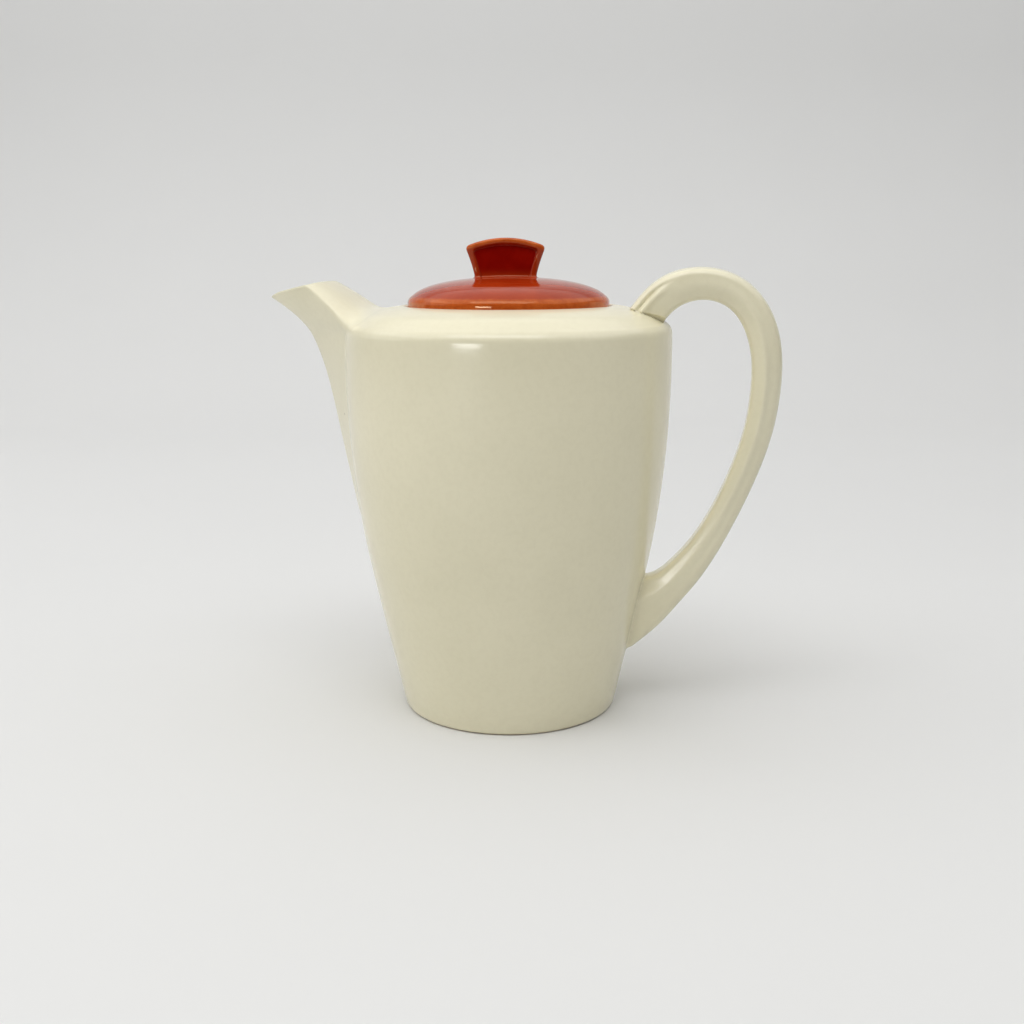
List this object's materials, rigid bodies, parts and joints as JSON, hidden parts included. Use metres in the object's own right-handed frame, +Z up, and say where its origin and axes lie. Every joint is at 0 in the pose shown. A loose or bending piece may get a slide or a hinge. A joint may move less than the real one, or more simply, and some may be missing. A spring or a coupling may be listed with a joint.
{
  "type": "coffee pot",
  "caption": "Glazed earthenware coffee pot with a beaked spout, a loop handle and a loose domed lid with a fan-shaped knob; it holds and pours hot coffee.",
  "frame": {"origin": "centre of the foot ring, on the surface that the pot stands on", "axes": "+Z up along the pot's axis, -X towards the spout, +X towards the handle"},
  "size_m": [0.2117, 0.1332, 0.195],
  "materials": {
    "cream_glaze": "semi-matt cream glaze, bare clay under the foot ring",
    "red_glaze": "glossy brick-red glaze, thin and orange on the edges"
  },
  "bodies": {
    "pot": {"pot_body": "cream_glaze", "spout": "cream_glaze", "handle": "cream_glaze"},
    "lid": {"lid": "red_glaze", "lid_knob": "red_glaze"}
  },
  "joints": [
    {"name": "lid_lift", "type": "slide", "parent": "pot", "child": "lid", "axis": [0, 0, 1], "range_m": [0, 0.06]}
  ]
}
